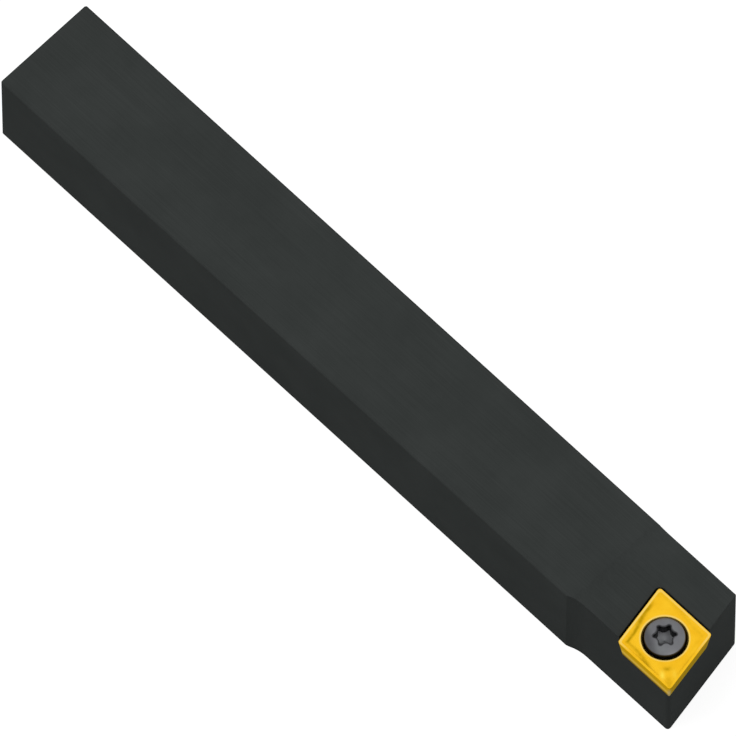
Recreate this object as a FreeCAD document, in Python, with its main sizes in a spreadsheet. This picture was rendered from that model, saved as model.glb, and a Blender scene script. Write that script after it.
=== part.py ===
# Turning tool holder: a square shank whose head carries a rhombic cutting insert, held by one screw.
# Millimetres. The origin is in the middle of the underside, +X points to the cutting end, +Z is up.

import FreeCAD, Part
import Sketcher
import math
import os

doc = FreeCAD.newDocument("turning_tool_holder")

# Driving dimensions: alias, value, meaning
sizes = [
    ("overall_length", 125, "rear end to the foremost point of the insert"),
    ("shank_width", 16, "square shank, across; its near side is flush with the cutting corner"),
    ("shank_height", 16, "square shank, upright; its top is level with the cutting corner"),
    ("edge_break", 0.2, "bevel on the long edges and the rear end"),
    ("head_length", 16, "foremost point back to where both reliefs are at full depth"),
    ("cutter_radius", 6.5, "run-out of both reliefs, left by the milling cutter"),
    ("side_relief", 0.785, "how far the head's near side stands back from the shank"),
    ("top_relief", 0.4, "how far the head's top lies below the cutting edge"),
    ("front_relief", 0.75, "how far the front face stands back from the insert's front edge"),
    ("nose_rounding", 0.5, "upright edge between the front face and the near side"),
    ("insert_circle", 9.525, "inscribed circle of the insert"),
    ("insert_thickness", 3.97, "insert, seat to cutting edge"),
    ("point_angle", 80, "angle of the cutting corner"),
    ("clearance_angle", 7, "slope of the insert's flanks, so that they clear the work"),
    ("corner_radius", 0.4, "insert's corners at the cutting edge"),
    ("foot_radius", 0.12, "insert's corners at the seat"),
    ("land_width", 0.12, "flat land along the cutting edge"),
    ("rake_width", 0.72, "slope from the land down to the groove's floor"),
    ("groove_depth", 0.2, "chip groove below the cutting edge"),
    ("groove_floor", 0.12, "floor of the chip groove"),
    ("island_slope", 0.3, "slope from the groove's floor up to the island"),
    ("island_radius", 0.3, "corners of the groove and of the island"),
    ("insert_bore", 4.4, "hole through the insert"),
    ("sink_diameter", 6.35, "countersink at the insert's top"),
    ("sink_lip", 0.3, "upright height of the countersink's steep lip"),
    ("seat_cone", 60, "included angle of the countersink and of the screw's head"),
    ("screw_thread", 4, "thread's outside diameter"),
    ("screw_length", 11, "screw, head included"),
    ("head_diameter", 5.5, "screw head"),
    ("head_stand", 1.35, "how far the crest of the screw's domed head lies above the cutting edge"),
    ("dome_radius", 4.9, "dome of the screw's head"),
    ("head_rounding", 0.3, "rounded edge between the head's side and its dome"),
    ("tip_bevel", 0.5, "bevel at the screw's tip"),
    ("recess_width", 3.3, "six-lobe recess, lobe to lobe"),
    ("lobe_radius", 0.3, "rounding of each lobe"),
    ("flank_radius", 0.68, "rounding of the ribs between the lobes"),
    ("recess_depth", 1.7, "six-lobe recess, from the dome's crest to the edge of its floor"),
    ("floor_dish", 0.3, "hollow cone in the recess's floor"),
    ("lobe_turn", 50, "direction of the first lobe"),
    ("cone_gap", 0.03, "screw head to countersink, radial"),
    ("thread_gap", 0.05, "screw to tapped hole, radial"),
    ("tip_gap", 1.5, "screw's tip to the end of the tapped hole"),
    ("drill_angle", 118, "point of the tapping drill"),
    ("wall_gap", 0.02, "insert's flanks to the seat's walls"),
    ("wall_contact", 2.2, "height of the walls that support the flanks"),
    ("wall_relief", 0.4, "step back of the walls above that height"),
    ("corner_relief", 0.7, "radius of the relief in the seat's inner corner"),
]
sheet = doc.addObject("Spreadsheet::Sheet", "dims")
for row, (alias, value, meaning) in enumerate(sizes, start=1):
    sheet.set(f"A{row}", meaning)
    sheet.set(f"B{row}", str(value))
    sheet.setAlias(f"B{row}", alias)
doc.recompute()

# The rhombus leans by this angle: its side edge lies along X and its front edge leans off Y
lean = "((90 - dims.point_angle) * 1 deg)"
leanSin = f"sin{lean}"
leanCos = f"cos{lean}"
cornerReach = f"((1 + {leanSin}) / {leanCos})"
bluntReach = f"((1 - {leanSin}) / {leanCos})"
clearanceTan = "tan(dims.clearance_angle * 1 deg)"
insertHalf = "dims.insert_circle / 2"

# Places in the holder's frame
seatZ = "(dims.shank_height - dims.insert_thickness)"
insertX = (f"(dims.overall_length / 2 - dims.corner_radius"
           f" - ({insertHalf} - dims.corner_radius) * {cornerReach})")
insertY = f"({insertHalf} - dims.shank_width / 2)"
reliefEndX = "(dims.overall_length / 2 - dims.head_length)"
nearY = "(dims.side_relief - dims.shank_width / 2)"
outside = "dims.shank_width"


def newBody(label):
    body = doc.addObject("PartDesign::Body", label)
    body.Label = label
    return body


# A sketch on one of the body's own planes, shifted by up to three expressions
def newSketch(body, name, planeRole, x=None, y=None, z=None):
    sketch = body.newObject("Sketcher::SketchObject", name)
    plane = next(item for item in body.Origin.OriginFeatures if item.Role == planeRole)
    sketch.AttachmentSupport = [(plane, "")]
    sketch.MapMode = "FlatFace"
    for axis, expression in (("x", x), ("y", y), ("z", z)):
        if expression:
            sketch.setExpression(f"AttachmentOffset.Base.{axis}", expression)
    return sketch


def valueOf(expression):
    result = sheet.evalExpression(expression)
    return float(getattr(result, "Value", result))


# Ties a dimension of the sketch to an expression
def bind(sketch, kind, name, elements, expression):
    index = sketch.addConstraint(Sketcher.Constraint(kind, *elements, valueOf(expression)))
    sketch.renameConstraint(index, name)
    sketch.setExpression(f"Constraints.{name}", expression)


def arcBetween(start, end, radius, turn):
    chord = end - start
    middle = (start + end) / 2
    rise = math.sqrt(max(radius ** 2 - (chord.Length / 2) ** 2, 0))
    side = FreeCAD.Vector(-chord.y, chord.x, 0).normalize() * turn
    centre = middle + side * rise
    first = math.atan2(start.y - centre.y, start.x - centre.x)
    last = math.atan2(end.y - centre.y, end.x - centre.x)
    if turn < 0:
        first, last = last, first
    circle = Part.Circle(centre, FreeCAD.Vector(0, 0, 1), radius)
    return Part.ArcOfCircle(circle, first, last)


# A closed outline. Each corner is (x, y), or (x, y, radius, turn) where an arc leads on to the next
# corner: turn 1 has the arc's centre on the left, -1 on the right.
def drawOutline(sketch, corners):
    points = [FreeCAD.Vector(valueOf(corner[0]), valueOf(corner[1]), 0) for corner in corners]
    ends = []
    for index, corner in enumerate(corners):
        start, end = points[index], points[(index + 1) % len(points)]
        if len(corner) == 2:
            geometry = sketch.addGeometry(Part.LineSegment(start, end), False)
            ends.append((geometry, 1, 2))
            continue
        arc = arcBetween(start, end, valueOf(corner[2]), corner[3])
        geometry = sketch.addGeometry(arc, False)
        ends.append((geometry, 1, 2) if corner[3] > 0 else (geometry, 2, 1))
        bind(sketch, "Radius", f"radius{index}", (geometry,), corner[2])
    for index, (geometry, startPoint, endPoint) in enumerate(ends):
        follower, followerStart, _ = ends[(index + 1) % len(ends)]
        sketch.addConstraint(Sketcher.Constraint("Coincident", geometry, endPoint, follower, followerStart))
        bind(sketch, "DistanceX", f"x{index}", (-1, 1, geometry, startPoint), corners[index][0])
        bind(sketch, "DistanceY", f"y{index}", (-1, 1, geometry, startPoint), corners[index][1])


# The insert's rhombus about its own centre, for half an inscribed circle and a corner radius
def rhombusCorners(half, radius):
    straight = f"({half} - {radius})"
    acuteX = f"({straight} * {cornerReach})"
    bluntX = f"({straight} * {bluntReach})"
    leanX = f"{radius} * {leanCos}"
    leanY = f"{radius} * {leanSin}"
    return [
        (acuteX, f"-({half})", radius, 1),
        (f"{acuteX} + {leanX}", f"{leanY} - {straight}"),
        (f"{bluntX} + {leanX}", f"{straight} + {leanY}", radius, 1),
        (bluntX, half),
        (f"-{acuteX}", half, radius, 1),
        (f"-{acuteX} - {leanX}", f"{straight} - {leanY}"),
        (f"-{bluntX} - {leanX}", f"-{straight} - {leanY}", radius, 1),
        (f"-{bluntX}", f"-({half})"),
    ]


# The seat's plan about the insert's centre: two walls that meet in its inner corner, open elsewhere
def seatCorners(half):
    return [
        (f"-({half}) * {cornerReach}", half),
        (f"({outside} * {leanSin} - ({half})) / {leanCos}", f"-{outside}"),
        (outside, f"-{outside}"),
        (outside, half),
    ]


def loft(body, kind, name, sketches):
    feature = body.newObject(f"PartDesign::{kind}", name)
    feature.Profile = sketches[0]
    feature.Sections = sketches[1:]
    feature.Ruled = True
    return feature


def pocket(body, name, sketch, length=None, upward=False):
    feature = body.newObject("PartDesign::Pocket", name)
    feature.Profile = sketch
    feature.Reversed = upward
    if length:
        feature.setExpression("Length", length)
    else:
        feature.Type = "ThroughAll"
    return feature


def revolve(body, kind, name, sketch):
    feature = body.newObject(f"PartDesign::{kind}", name)
    feature.Profile = sketch
    feature.ReferenceAxis = (sketch, ["V_Axis"])
    feature.Angle = 360
    return feature


# Names of the edges whose ends all lie in the plane x = place
def edgesAt(shape, place):
    names = []
    for index, edge in enumerate(shape.Edges, start=1):
        if all(abs(vertex.X - place) < 1e-6 for vertex in edge.Vertexes):
            names.append(f"Edge{index}")
    return names


# Holder: a bevelled square bar, its head milled back at the front, the near side and the top
holder = newBody("holder_body")

halfWidth = "(dims.shank_width / 2)"
bevel = "dims.edge_break"
section = newSketch(holder, "bar_section", "YZ_Plane", z="-dims.overall_length / 2")
drawOutline(section, [
    (f"{bevel} - {halfWidth}", "0"),
    (f"{halfWidth} - {bevel}", "0"),
    (halfWidth, bevel),
    (halfWidth, f"dims.shank_height - {bevel}"),
    (f"{halfWidth} - {bevel}", "dims.shank_height"),
    (f"{bevel} - {halfWidth}", "dims.shank_height"),
    (f"-{halfWidth}", f"dims.shank_height - {bevel}"),
    (f"-{halfWidth}", bevel),
])
bar = holder.newObject("PartDesign::Pad", "bar")
bar.Profile = section
bar.setExpression("Length", "dims.overall_length")
doc.recompute()

rearBevel = holder.newObject("PartDesign::Chamfer", "rear_bevel")
rearBevel.Base = (bar, edgesAt(bar.Shape, -valueOf("dims.overall_length") / 2))
rearBevel.setExpression("Size", bevel)


# Length of the arc that the cutter leaves behind a relief of the given depth
def runOut(depth):
    return f"sqrt({depth} * (2 * dims.cutter_radius - {depth}))"


frontHalf = f"({insertHalf} - dims.front_relief)"
noseY = f"({nearY} + dims.nose_rounding)"
noseX = f"({insertX} + ({frontHalf} - dims.nose_rounding - ({noseY} - {insertY}) * {leanSin}) / {leanCos})"
sideStartX = f"({reliefEndX} - {runOut('dims.side_relief')})"
plan = newSketch(holder, "head_plan", "XY_Plane")
drawOutline(plan, [
    (sideStartX, f"-{halfWidth}", "dims.cutter_radius", -1),
    (reliefEndX, nearY),
    (noseX, nearY, "dims.nose_rounding", 1),
    (f"{noseX} + dims.nose_rounding * {leanCos}", f"{noseY} + dims.nose_rounding * {leanSin}"),
    (f"{insertX} + ({frontHalf} - ({outside} - {insertY}) * {leanSin}) / {leanCos}", outside),
    (f"{insertX} + {outside}", outside),
    (f"{insertX} + {outside}", f"-{outside}"),
    (sideStartX, f"-{outside}"),
])
pocket(holder, "front_and_side", plan, upward=True)

topStartX = f"({reliefEndX} - {runOut('dims.top_relief')})"
profile = newSketch(holder, "top_profile", "XZ_Plane", z=outside)
drawOutline(profile, [
    (topStartX, "dims.shank_height", "dims.cutter_radius", 1),
    (reliefEndX, "dims.shank_height - dims.top_relief"),
    (f"{insertX} + {outside}", "dims.shank_height - dims.top_relief"),
    (f"{insertX} + {outside}", f"dims.shank_height + {outside}"),
    (topStartX, f"dims.shank_height + {outside}"),
])
pocket(holder, "top_relief", profile)

# Seat: lower walls that follow the insert's flanks, stepped back above, with a relieved inner corner
footHalf = f"({insertHalf} - dims.insert_thickness * {clearanceTan} + dims.wall_gap)"
contactHalf = f"({footHalf} + dims.wall_contact * {clearanceTan})"
contactZ = f"({seatZ} + dims.wall_contact)"
wallFoot = newSketch(holder, "wall_foot", "XY_Plane", insertX, insertY, seatZ)
drawOutline(wallFoot, seatCorners(footHalf))
wallTop = newSketch(holder, "wall_top", "XY_Plane", insertX, insertY, contactZ)
drawOutline(wallTop, seatCorners(contactHalf))
loft(holder, "SubtractiveLoft", "seat_walls", [wallFoot, wallTop])

stepHalf = f"({insertHalf} + dims.wall_relief)"
stepRadius = "(dims.corner_radius + dims.wall_relief)"
wallStep = newSketch(holder, "wall_step", "XY_Plane", insertX, insertY, contactZ)
drawOutline(wallStep, rhombusCorners(stepHalf, stepRadius)[4:6] + seatCorners(stepHalf)[1:])
pocket(holder, "wall_step_back", wallStep, upward=True)

corner = newSketch(holder, "inner_corner", "XY_Plane", insertX, insertY, seatZ)
cornerCircle = corner.addGeometry(Part.Circle(), False)
bind(corner, "Radius", "radius", (cornerCircle,), "dims.corner_relief")
bind(corner, "DistanceX", "across", (-1, 1, cornerCircle, 3), f"-{footHalf} * {cornerReach}")
bind(corner, "DistanceY", "along", (-1, 1, cornerCircle, 3), footHalf)
pocket(holder, "corner_relief", corner, upward=True)

holeCentre = newSketch(holder, "hole_centre", "XY_Plane", insertX, insertY, seatZ)
holeCircle = holeCentre.addGeometry(Part.Circle(), False)
holeCentre.addConstraint(Sketcher.Constraint("Coincident", holeCircle, 3, -1, 1))
bind(holeCentre, "Radius", "radius", (holeCircle,), "dims.screw_thread / 2")
doc.recompute()

screwTipZ = "(dims.shank_height + dims.head_stand - dims.screw_length)"
tapped = holder.newObject("PartDesign::Hole", "tapped_hole")
tapped.Profile = holeCentre
tapped.DepthType = "Dimension"
tapped.DrillPoint = "Angled"
tapped.setExpression("Diameter", "dims.screw_thread + 2 * dims.thread_gap")
tapped.setExpression("Depth", f"{seatZ} - {screwTipZ} + dims.tip_gap")
tapped.setExpression("DrillPointAngle", "dims.drill_angle")

# Insert: a sintered rhombus on sloping flanks, with a chip groove inside its cutting edges
insert = newBody("cutting_insert")
insert.setExpression("Placement.Base.x", insertX)
insert.setExpression("Placement.Base.y", insertY)
insert.setExpression("Placement.Base.z", seatZ)

edgeZ = "dims.insert_thickness"
grooveZ = "(dims.insert_thickness - dims.groove_depth)"
flankHalf = f"({insertHalf} - dims.insert_thickness * {clearanceTan})"
landHalf = f"({insertHalf} - dims.land_width)"
rakeHalf = f"({landHalf} - dims.rake_width)"
floorHalf = f"({rakeHalf} - dims.groove_floor)"
islandHalf = f"({floorHalf} - dims.island_slope)"


def rhombusSketch(name, height, half, radius):
    sketch = newSketch(insert, name, "XY_Plane", z=height)
    drawOutline(sketch, rhombusCorners(half, radius))
    return sketch


foot = rhombusSketch("foot", None, flankHalf, "dims.foot_radius")
edge = rhombusSketch("edge", edgeZ, insertHalf, "dims.corner_radius")
loft(insert, "AdditiveLoft", "flanks", [foot, edge])
land = rhombusSketch("land", edgeZ, landHalf, "dims.island_radius")
rakeFoot = rhombusSketch("rake_foot", grooveZ, rakeHalf, "dims.island_radius")
loft(insert, "SubtractiveLoft", "rake", [land, rakeFoot])
islandFoot = rhombusSketch("island_foot", grooveZ, floorHalf, "dims.island_radius")
island = rhombusSketch("island", edgeZ, islandHalf, "dims.island_radius")
loft(insert, "AdditiveLoft", "island_rise", [islandFoot, island])

# The hole's countersink: a steep lip at the top, then the cone that the screw's head seats in
coneTan = "tan(dims.seat_cone / 2 * 1 deg)"
lipRadius = "(dims.head_diameter / 2 + dims.cone_gap)"
lipZ = "(dims.insert_thickness - dims.sink_lip)"
coneFootZ = f"({lipZ} - ({lipRadius} - dims.insert_bore / 2) / {coneTan})"
sink = newSketch(insert, "hole_profile", "XZ_Plane")
drawOutline(sink, [
    ("0", f"-{edgeZ}"),
    ("dims.insert_bore / 2", f"-{edgeZ}"),
    ("dims.insert_bore / 2", coneFootZ),
    (lipRadius, lipZ),
    ("dims.sink_diameter / 2", edgeZ),
    ("dims.sink_diameter / 2", f"2 * {edgeZ}"),
    ("0", f"2 * {edgeZ}"),
])
revolve(insert, "Groove", "countersunk_hole", sink)

# Screw: a plain shank in place of its thread, a conical seat, and a domed head with a six-lobe recess
screw = newBody("clamp_screw")
screw.setExpression("Placement.Base.x", insertX)
screw.setExpression("Placement.Base.y", insertY)
screw.setExpression("Placement.Base.z", screwTipZ)

headRadius = "(dims.head_diameter / 2)"
threadRadius = "(dims.screw_thread / 2)"
coneTopZ = f"({seatZ} + {lipZ} - {screwTipZ})"
domeZ = "(dims.screw_length - dims.dome_radius)"
edgeX = f"({headRadius} - dims.head_rounding)"
edgeRise = f"sqrt((dims.dome_radius - dims.head_rounding) ^ 2 - {edgeX} ^ 2)"
domeShare = "dims.dome_radius / (dims.dome_radius - dims.head_rounding)"
turned = newSketch(screw, "screw_profile", "XZ_Plane")
drawOutline(turned, [
    ("0", "0"),
    (f"{threadRadius} - dims.tip_bevel", "0"),
    (threadRadius, "dims.tip_bevel"),
    (threadRadius, f"{coneTopZ} - ({headRadius} - {threadRadius}) / {coneTan}"),
    (headRadius, coneTopZ),
    (headRadius, f"{domeZ} + {edgeRise}", "dims.head_rounding", 1),
    (f"{edgeX} * {domeShare}", f"{domeZ} + {edgeRise} * {domeShare}", "dims.dome_radius", 1),
    ("0", "dims.screw_length"),
])
revolve(screw, "Revolution", "turned_form", turned)

# The recess's outline: lobes and ribs are arcs, each tangent to its neighbours
recess = newSketch(screw, "recess_outline", "XY_Plane", z="dims.screw_length - dims.recess_depth")
lobeCount = 6
lobeReach = "(dims.recess_width / 2 - dims.lobe_radius)"
halfStep = 180 / lobeCount
ribReach = (f"({lobeReach} * cos({halfStep} deg)"
            f" + sqrt((dims.lobe_radius + dims.flank_radius) ^ 2 - ({lobeReach} * sin({halfStep} deg)) ^ 2))")


def polar(reach, direction):
    return f"{reach} * cos({direction})", f"{reach} * sin({direction})"


def centred(reach, direction):
    x, y = polar(reach, direction)
    return FreeCAD.Vector(valueOf(x), valueOf(y), 0)


# Where a lobe and the rib beside it touch: on the line between their centres
def touching(lobe, rib):
    share = valueOf("dims.lobe_radius / (dims.lobe_radius + dims.flank_radius)")
    return lobe + (rib - lobe) * share


def arcAbout(centre, radius, start, end):
    first = math.atan2(start.y - centre.y, start.x - centre.x)
    last = math.atan2(end.y - centre.y, end.x - centre.x)
    return Part.ArcOfCircle(Part.Circle(centre, FreeCAD.Vector(0, 0, 1), radius), first, last)


lobes = []
ribs = []
for index in range(lobeCount):
    direction = f"(dims.lobe_turn + {index * 2 * halfStep}) * 1 deg"
    before = centred(ribReach, f"(dims.lobe_turn + {(2 * index - 1) * halfStep}) * 1 deg")
    after = centred(ribReach, f"(dims.lobe_turn + {(2 * index + 1) * halfStep}) * 1 deg")
    here = centred(lobeReach, direction)
    following = centred(lobeReach, f"(dims.lobe_turn + {(2 * index + 2) * halfStep}) * 1 deg")
    lobeArc = arcAbout(here, valueOf("dims.lobe_radius"), touching(here, before), touching(here, after))
    ribArc = arcAbout(after, valueOf("dims.flank_radius"), touching(following, after), touching(here, after))
    lobe = recess.addGeometry(lobeArc, False)
    rib = recess.addGeometry(ribArc, False)
    x, y = polar(lobeReach, direction)
    bind(recess, "Radius", f"lobe{index}", (lobe,), "dims.lobe_radius")
    bind(recess, "DistanceX", f"across{index}", (-1, 1, lobe, 3), x)
    bind(recess, "DistanceY", f"along{index}", (-1, 1, lobe, 3), y)
    bind(recess, "Radius", f"rib{index}", (rib,), "dims.flank_radius")
    lobes.append(lobe)
    ribs.append(rib)
for index, rib in enumerate(ribs):
    recess.addConstraint(Sketcher.Constraint("Tangent", lobes[index], 2, rib, 2))
    recess.addConstraint(Sketcher.Constraint("Tangent", rib, 1, lobes[(index + 1) % lobeCount], 1))
pocket(screw, "six_lobe_recess", recess, upward=True)

dishZ = "(dims.screw_length - dims.recess_depth)"
ribFoot = f"({ribReach} - dims.flank_radius)"
dish = newSketch(screw, "floor_profile", "XZ_Plane")
drawOutline(dish, [
    ("0", f"{dishZ} - dims.floor_dish"),
    (ribFoot, dishZ),
    ("0", dishZ),
])
revolve(screw, "Groove", "floor_cone", dish)

doc.recompute()

subParts = [holder, insert, screw]
for item in doc.Objects:
    if {"Invalid", "Error"} & set(item.State):
        raise RuntimeError(f"{item.Label} failed: {item.State}")
for body in subParts:
    if body.Shape.isNull() or not body.Shape.isValid() or len(body.Shape.Solids) != 1:
        raise RuntimeError(f"{body.Label} is not one valid solid")

os.makedirs("parts", exist_ok=True)
for body in subParts:
    body.Shape.exportStep(f"parts/{body.Label}.step")
    box = body.Shape.optimalBoundingBox(True, False)
    print(f"{body.Label}: {body.Shape.Volume:.2f} mm3, "
          f"x {box.XMin:.3f}..{box.XMax:.3f}, y {box.YMin:.3f}..{box.YMax:.3f}, "
          f"z {box.ZMin:.3f}..{box.ZMax:.3f}")
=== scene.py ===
import math

import bmesh
import bpy
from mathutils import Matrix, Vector


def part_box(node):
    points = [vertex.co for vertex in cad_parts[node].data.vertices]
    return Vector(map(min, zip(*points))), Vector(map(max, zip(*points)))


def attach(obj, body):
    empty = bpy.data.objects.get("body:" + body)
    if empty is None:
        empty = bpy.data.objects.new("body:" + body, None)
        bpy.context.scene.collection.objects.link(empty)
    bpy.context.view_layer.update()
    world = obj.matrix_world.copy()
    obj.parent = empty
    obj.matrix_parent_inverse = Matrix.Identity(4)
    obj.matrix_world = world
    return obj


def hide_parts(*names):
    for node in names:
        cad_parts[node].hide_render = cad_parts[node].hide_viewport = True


# Turning tool holder: the looks of the holder, its cutting insert and the clamp screw
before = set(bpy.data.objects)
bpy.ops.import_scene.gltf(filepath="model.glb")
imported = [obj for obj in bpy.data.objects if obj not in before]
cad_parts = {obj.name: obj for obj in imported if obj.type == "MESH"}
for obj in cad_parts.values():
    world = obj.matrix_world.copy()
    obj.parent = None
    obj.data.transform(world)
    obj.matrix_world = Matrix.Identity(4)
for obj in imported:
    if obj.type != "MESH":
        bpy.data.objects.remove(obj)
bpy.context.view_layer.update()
millimetre = 0.001
cloudSpan = {"From Min": 0.35, "From Max": 0.65}    # spread of a noise that two tones share out
print("frame loaded")


def linearColour(hexColour):
    channels = [int(hexColour[i:i + 2], 16) / 255 for i in (1, 3, 5)]
    linear = [c / 12.92 if c <= 0.04045 else ((c + 0.055) / 1.055) ** 2.4 for c in channels]
    return (*linear, 1.0)


def addNode(tree, kind, settings=None, values=None, links=None):
    node = tree.nodes.new(kind)
    for name, value in (settings or {}).items():
        setattr(node, name, value)
    for socket, value in (values or {}).items():
        node.inputs[socket].default_value = value
    for socket, source in (links or {}).items():
        tree.links.new(source, node.inputs[socket])
    return node


def newMaterial(name):
    material = bpy.data.materials.new(name)
    material.use_nodes = True
    material.node_tree.nodes.clear()
    return material, material.node_tree


def meshObject(name, points, faces):
    mesh = bpy.data.meshes.new(name)
    mesh.from_pydata(points, [], faces)
    mesh.validate()
    piece = bpy.data.objects.new(name, mesh)
    bpy.context.scene.collection.objects.link(piece)
    return piece


# Joins rings of equally many points into a closed skin: with a centre point at each end, or without
# them as a closed loop of rings, as round a hole
def ringSkin(rings, firstCentre=None, lastCentre=None):
    count = len(rings[0])
    points = [point for ring in rings for point in ring]
    faces = []
    for row in range(len(rings) - 1):
        for i in range(count):
            j = (i + 1) % count
            below, above = row * count, (row + 1) * count
            faces.append((below + i, below + j, above + j, above + i))
    if firstCentre is not None:
        points += [firstCentre, lastCentre]
    last = (len(rings) - 1) * count
    for i in range(count):
        j = (i + 1) % count
        if firstCentre is None:
            faces.append((last + i, last + j, j, i))
        else:
            faces.append((len(points) - 2, j, i))
            faces.append((len(points) - 1, last + i, last + j))
    return points, faces


def smoothByAngle(piece, degrees):
    mesh = piece.data
    mesh.polygons.foreach_set("use_smooth", [True] * len(mesh.polygons))
    mesh.set_sharp_from_angle(angle=math.radians(degrees))


# Black oxide on ground and milled steel: nearly black with a faint green-grey cast, satin from the
# oil that the porous oxide holds, fine tool lines under it, and painted shade darkening the narrow
# gaps
blackSteel = {
    "base": "#343736",
    "worn": "#383B3A",
    "roughness": 0.78,
    "specular": 0.015,
    "lineWidth": 0.18,       # mm between grinding lines
    "lineLength": 14.0,      # mm, how long one line runs
    "cloudSize": 9.0,        # mm across a darker cloud in the oxide
    "grain": 0.22,           # mm, grain of the etched surface
    "shadeReach": 1.2,         # mm, how far from another surface the painted shade darkens the steel
    "shadeSpan": (0.15, 0.9),  # openness between which the painted shade fades out
    "shadeSamples": 8,
    "shadeTone": 0.45,         # share of the colour that the painted shade leaves at the bottom of a gap
    "lineSpan": (0.3, 0.7),  # spread of the noise between a dark and a light line
    "lineTone": 0.07,        # share by which a grinding line is lighter or darker
    "lineGloss": (-0.05, 0.06),    # and how its roughness differs
    "lineBump": 0.3,
    "grainBump": 0.25,
    "bumpHeight": 0.02,      # mm
}


def blackOxideSteel():
    material, tree = newMaterial("black_oxide_on_milled_steel")
    look = blackSteel
    coordinates = addNode(tree, "ShaderNodeTexCoord")
    across = 1 / (look["lineWidth"] * millimetre)
    along = 1 / (look["lineLength"] * millimetre)
    stretched = addNode(tree, "ShaderNodeMapping", values={"Scale": (along, across, across)},
                        links={"Vector": coordinates.outputs["Object"]})
    lines = addNode(tree, "ShaderNodeTexNoise", values={"Scale": 1.0, "Detail": 3.0, "Roughness": 0.6},
                    links={"Vector": stretched.outputs["Vector"]})
    clouds = addNode(tree, "ShaderNodeTexNoise",
                     values={"Scale": 1 / (look["cloudSize"] * millimetre), "Detail": 4.0,
                             "Roughness": 0.55},
                     links={"Vector": coordinates.outputs["Object"]})
    grain = addNode(tree, "ShaderNodeTexNoise",
                    values={"Scale": 1 / (look["grain"] * millimetre), "Detail": 2.0},
                    links={"Vector": coordinates.outputs["Object"]})
    tone = addNode(tree, "ShaderNodeMapRange", values=cloudSpan,
                   links={"Value": clouds.outputs["Fac"]})
    colour = addNode(tree, "ShaderNodeMix", {"data_type": "RGBA"},
                     {6: linearColour(look["base"]), 7: linearColour(look["worn"])},
                     {"Factor": tone.outputs["Result"]})
    # painted shade: an ambient occlusion darkens the colour in gaps and where parts meet
    openness = addNode(tree, "ShaderNodeAmbientOcclusion", {"samples": look["shadeSamples"]},
                       {"Distance": look["shadeReach"] * millimetre})
    gapShade = addNode(tree, "ShaderNodeMapRange",
                    values={"From Min": look["shadeSpan"][0], "From Max": look["shadeSpan"][1],
                            "To Min": look["shadeTone"], "To Max": 1.0},
                    links={"Value": openness.outputs["AO"]})
    lineSpan = {"From Min": look["lineSpan"][0], "From Max": look["lineSpan"][1]}
    lineTone = addNode(tree, "ShaderNodeMapRange",
                       values={**lineSpan, "To Min": 1 - look["lineTone"],
                               "To Max": 1 + look["lineTone"]},
                       links={"Value": lines.outputs["Fac"]})
    tones = addNode(tree, "ShaderNodeMath", {"operation": "MULTIPLY"},
                    links={0: gapShade.outputs["Result"], 1: lineTone.outputs["Result"]})
    colour = addNode(tree, "ShaderNodeVectorMath", {"operation": "SCALE"},
                     links={0: colour.outputs[2], "Scale": tones.outputs[0]})
    gloss = addNode(tree, "ShaderNodeMapRange",
                    values={**lineSpan, "To Min": look["roughness"] + look["lineGloss"][0],
                            "To Max": look["roughness"] + look["lineGloss"][1]},
                    links={"Value": lines.outputs["Fac"]})
    bumpHeight = look["bumpHeight"] * millimetre
    lineBump = addNode(tree, "ShaderNodeBump",
                       values={"Strength": look["lineBump"], "Distance": bumpHeight},
                       links={"Height": lines.outputs["Fac"]})
    grainBump = addNode(tree, "ShaderNodeBump",
                        values={"Strength": look["grainBump"], "Distance": bumpHeight},
                        links={"Height": grain.outputs["Fac"], "Normal": lineBump.outputs["Normal"]})
    shader = addNode(tree, "ShaderNodeBsdfPrincipled",
                     values={"Metallic": 0.0, "Specular IOR Level": look["specular"]},
                     links={"Base Color": colour.outputs["Vector"],
                            "Roughness": gloss.outputs["Result"],
                            "Normal": grainBump.outputs["Normal"]})
    addNode(tree, "ShaderNodeOutputMaterial", links={"Surface": shader.outputs["BSDF"]})
    return material


# Titanium nitride on sintered carbide: a saturated gold-yellow metal, satin from the pressed grain.
# Its colour carries painted highlights along two edges, round the hole and on the bumps' crests, and
# painted shade: ochre in the chip groove, darker on the front flank, at the flanks' foot and inside
# the hole. The flanks are more olive, partly in tone and partly painted shade, with a paler band of
# painted reflection; the coating is worn to the grey carbide down the cutting corner
goldCoating = {
    "top": "#FAC528",
    "topDeep": "#F4BC20",
    # the groove's ochre is painted shade
    "groove": "#BC9408",
    # the pale crests are a painted highlight
    "crest": "#FFDE4C",
    # the paler edge tone is a painted highlight
    "edgeHighlight": "#F6D26A",
    # the flanks' olive is partly the coating's tone and partly painted shade; the paler foot band is a
    # painted reflection
    "flank": "#BC9822",
    "flankFootLight": "#CDAF5C",
    # the dark foot tone is painted shade where the insert sits in its seat
    "shadedFoot": "#6A5018",
    # the front flank's darker tone is painted shade
    "frontFlankShade": "#8C7420",
    "bareCarbide": "#9A9890",
    # the dark brown inside the hole is painted shade
    "hole": "#4E360E",
    "flankSplit": (14.6, 13.4),    # mm above the floor, where the flank turns paler with a painted reflection
    "footShadeSplit": (13.3, 12.1),     # and where painted shade from the seat darkens its foot
    "grazing": (0.85, 0.66, 0.16),    # tint of the metal at grazing angles, where it stays yellow
    "roughness": 0.36,
    "flankRoughness": 0.55,
    "grain": 0.12,           # mm, coarse enough to show; the real grain is a few microns
    "cloudSize": 2.2,        # mm across a tone change in the coating
    "patchSize": 0.55,       # mm across a patch of the painted shade in the groove
    "patchSpan": (0.35, 0.6),    # spread of the noise between the patches and on them
    "patchTone": (0.8, 1.2),    # by which the groove's ochre painted shade is multiplied there
    "grainBump": 0.06,
    "bumpHeight": 0.01,      # mm
}


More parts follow.
